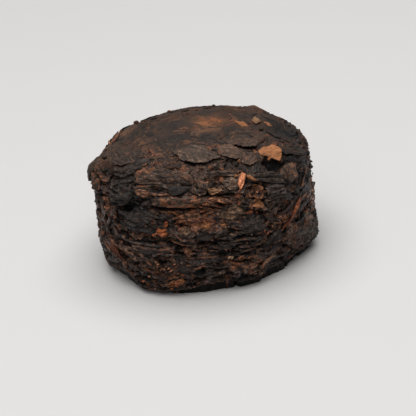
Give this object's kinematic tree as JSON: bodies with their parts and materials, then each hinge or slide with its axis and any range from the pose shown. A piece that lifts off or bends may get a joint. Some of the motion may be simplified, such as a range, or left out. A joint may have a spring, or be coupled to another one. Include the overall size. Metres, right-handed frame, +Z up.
{
  "type": "pressed tea cake",
  "caption": "Small drum of pressed dark tea leaves with a low domed top, a flaky side and a flat foot.",
  "frame": {"origin": "middle of the flat foot, on the surface the cake rests on", "axes": "+Z up through the crown, -Y towards the pictured front, +X to its right"},
  "size_m": [0.025, 0.0246, 0.0149],
  "materials": {
    "pressed_leaf": "dry pressed tea leaf, dark brown to black with rusty and olive flakes, dull with a slight sheen on the flat leaves"
  },
  "bodies": {
    "root": {"tea_brick": "pressed_leaf"}
  },
  "joints": []
}
